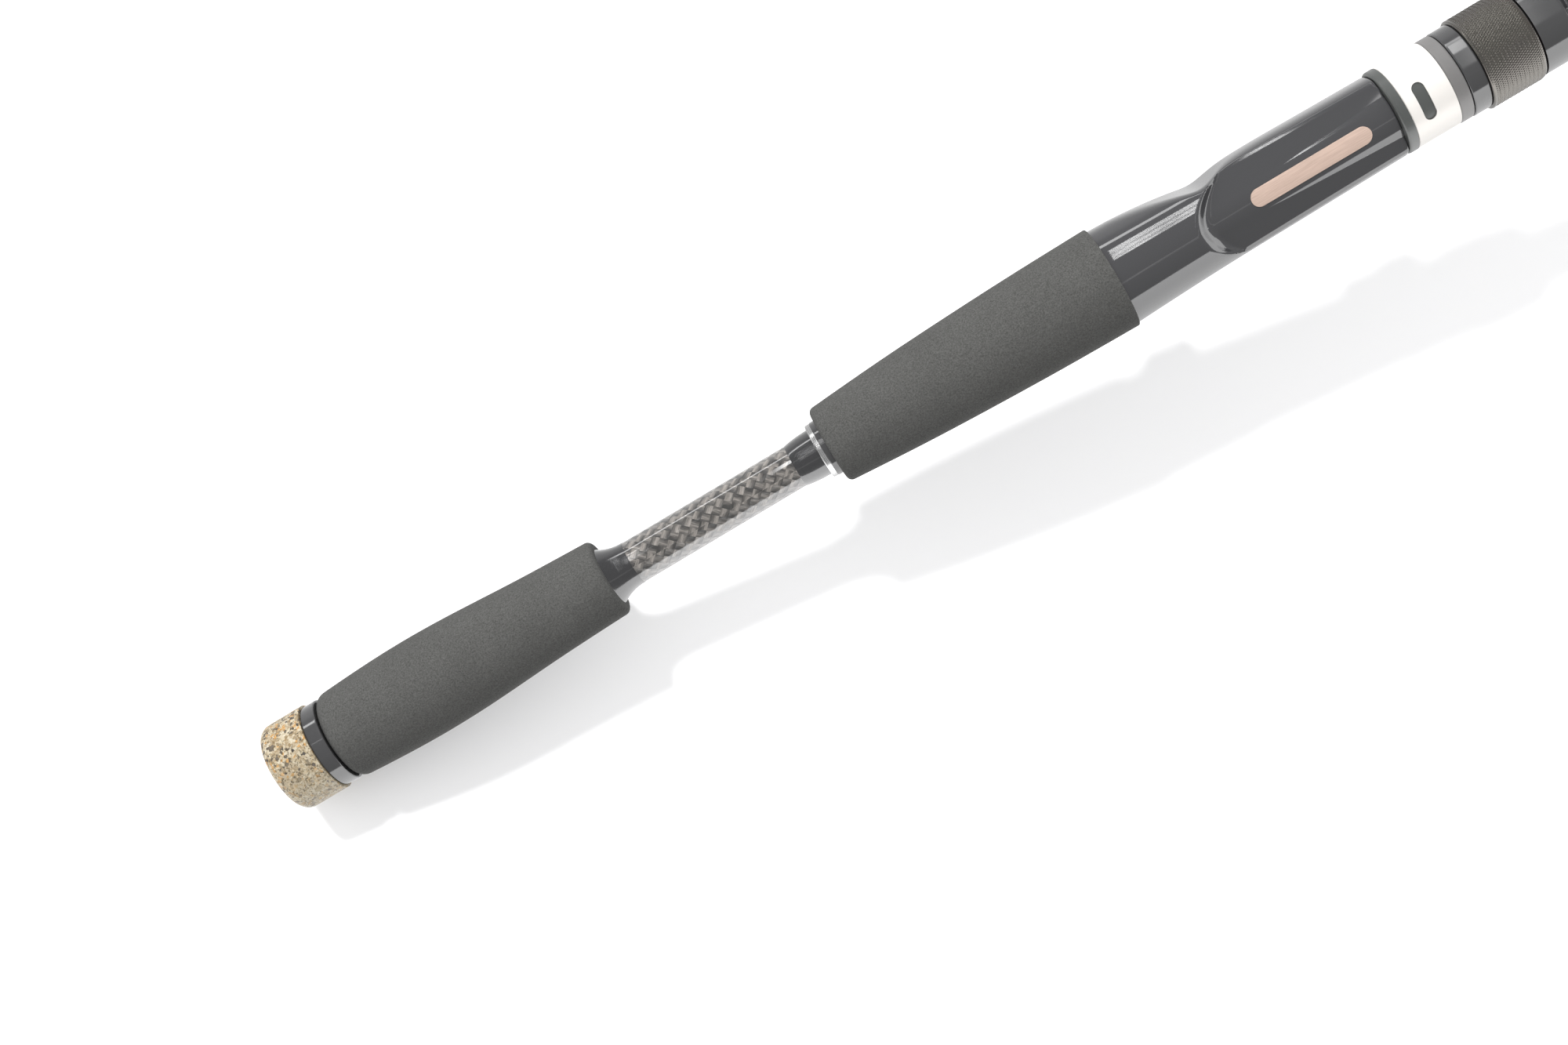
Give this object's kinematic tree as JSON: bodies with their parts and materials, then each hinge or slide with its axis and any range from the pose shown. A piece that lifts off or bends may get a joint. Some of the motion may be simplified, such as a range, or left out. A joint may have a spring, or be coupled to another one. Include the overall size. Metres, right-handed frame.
{
  "type": "spinning rod",
  "caption": "Two-piece spinning rod with split foam grips, a screw-down hooded reel seat and wire-framed line guides along a tapered hollow blank.",
  "frame": {"origin": "centre of the butt face", "axes": "+X along the rod from butt to tip, +Z out of the rod's back (label side), reel and guides on -Z"},
  "size_m": [2.1336, 0.0302, 0.0547],
  "materials": {
    "cork_composite": "speckled cork and rubber composite, sanded",
    "gloss_black": "polished black",
    "eva_foam": "fine-celled foam, sanded matte",
    "blank_graphite": "dark graphite under clear coat",
    "carbon_weave": "woven carbon under clear epoxy",
    "thread_black": "wound thread under epoxy",
    "silver_ring": "turned, polished",
    "seat_black": "piano black",
    "arbor_foam": "rigid foam, hidden",
    "stainless": "formed sheet",
    "bronze_plate": "brushed rose bronze, anodised",
    "satin_silver": "bead-blasted satin",
    "liner_black": "moulded nylon",
    "ring_grey": "matte dark grey",
    "knurl_black": "black anodised, diamond knurl",
    "guide_steel": "dark plated stainless wire",
    "guide_ceramic": "polished ceramic"
  },
  "bodies": {
    "handle": {"butt_cap": "cork_composite", "butt_trim_ring": "gloss_black", "rear_grip": "eva_foam", "blank_butt": "blank_graphite", "carbon_sleeve": "carbon_weave", "split_wrap_rear": "thread_black", "split_wrap_front": "thread_black", "grip_check": "silver_ring", "grip_collar": "gloss_black", "mid_grip": "eva_foam", "seat_body": "seat_black", "seat_arbor_rear": "arbor_foam", "seat_arbor_front": "arbor_foam", "fixed_hood_liner": "stainless", "seat_label_plate": "bronze_plate", "stop_ring": "gloss_black", "fore_grip": "eva_foam", "fore_check": "silver_ring", "fore_wrap": "thread_black", "ferrule_wrap_butt": "thread_black", "guide_1_frame": "guide_steel", "guide_1_ring": "guide_ceramic", "guide_1_wraps": "thread_black"},
    "moving_hood": {"hood_liner": "liner_black", "hood_shell": "satin_silver", "hood_badge": "liner_black", "hood_trim_ring": "ring_grey"},
    "lock_nut": {"lock_nut": "knurl_black", "nut_collar": "gloss_black", "nut_front_ring": "gloss_black"},
    "tip_section": {"blank_tip": "blank_graphite", "ferrule_sleeve": "blank_graphite", "ferrule_wrap_tip": "thread_black", "tip_top_frame": "guide_steel", "tip_top_ring": "guide_ceramic", "tip_top_wrap": "thread_black", "guide_2_frame": "guide_steel", "guide_2_ring": "guide_ceramic", "guide_2_wraps": "thread_black", "guide_3_frame": "guide_steel", "guide_3_ring": "guide_ceramic", "guide_3_wraps": "thread_black", "guide_4_frame": "guide_steel", "guide_4_ring": "guide_ceramic", "guide_4_wraps": "thread_black", "guide_5_frame": "guide_steel", "guide_5_ring": "guide_ceramic", "guide_5_wraps": "thread_black", "guide_6_frame": "guide_steel", "guide_6_ring": "guide_ceramic", "guide_6_wraps": "thread_black", "guide_7_frame": "guide_steel", "guide_7_ring": "guide_ceramic", "guide_7_wraps": "thread_black"}
  },
  "joints": [
    {"name": "hood_slide", "type": "slide", "parent": "handle", "child": "moving_hood", "axis": [1, 0, 0], "range_m": [0, 0.022]},
    {"name": "nut_spin", "type": "hinge", "parent": "moving_hood", "child": "lock_nut", "pos_m": [0.39, 0, 0], "axis": [1, 0, 0], "range_deg": [0, 3960]},
    {"name": "ferrule_pull", "type": "slide", "parent": "handle", "child": "tip_section", "axis": [1, 0, 0], "range_m": [0, 0.075]}
  ],
  "couplings": [
    {"joint": "hood_slide", "follows": "nut_spin", "m_per_rad": 0.00031831}
  ]
}
